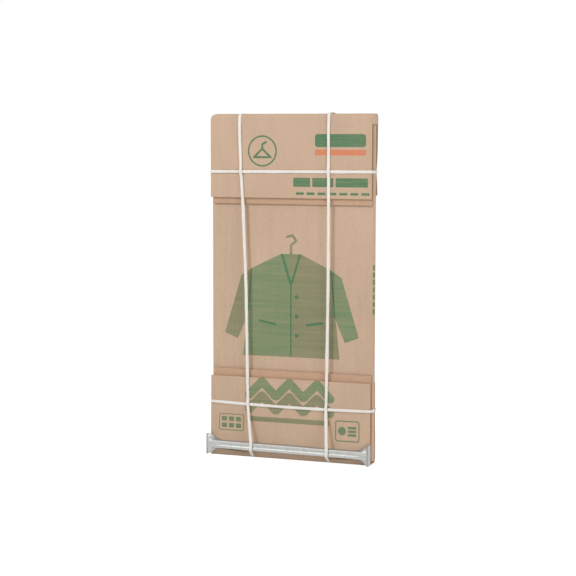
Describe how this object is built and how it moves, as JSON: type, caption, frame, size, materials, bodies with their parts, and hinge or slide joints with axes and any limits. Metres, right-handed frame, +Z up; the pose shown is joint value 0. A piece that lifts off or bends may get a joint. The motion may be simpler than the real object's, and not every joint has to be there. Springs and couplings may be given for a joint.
{
  "type": "wardrobe moving box",
  "caption": "Tall wardrobe carton of double-wall corrugated board, folded flat and in half, tied with white twine over its pressed metal hanger bar.",
  "frame": {"origin": "on the ground, under the middle of the whole pack with its bar and twine", "axes": "+Z up along the pack's height, -Y towards the front with the hanger bar, +X towards the folded spine"},
  "size_m": [0.6362, 0.102, 1.2492],
  "materials": {
    "kraft_board": "plain brown kraft liner, printed in two plain inks",
    "galvanised_sheet": "bright zinc coating, softly mottled",
    "white_twine": "soft bunched white twine"
  },
  "bodies": {
    "root": {"carton_blank": "kraft_board", "hanger_bar": "galvanised_sheet", "twine_upright_left": "white_twine", "twine_upright_right": "white_twine", "twine_level_upper": "white_twine", "twine_level_lower": "white_twine"}
  },
  "joints": []
}
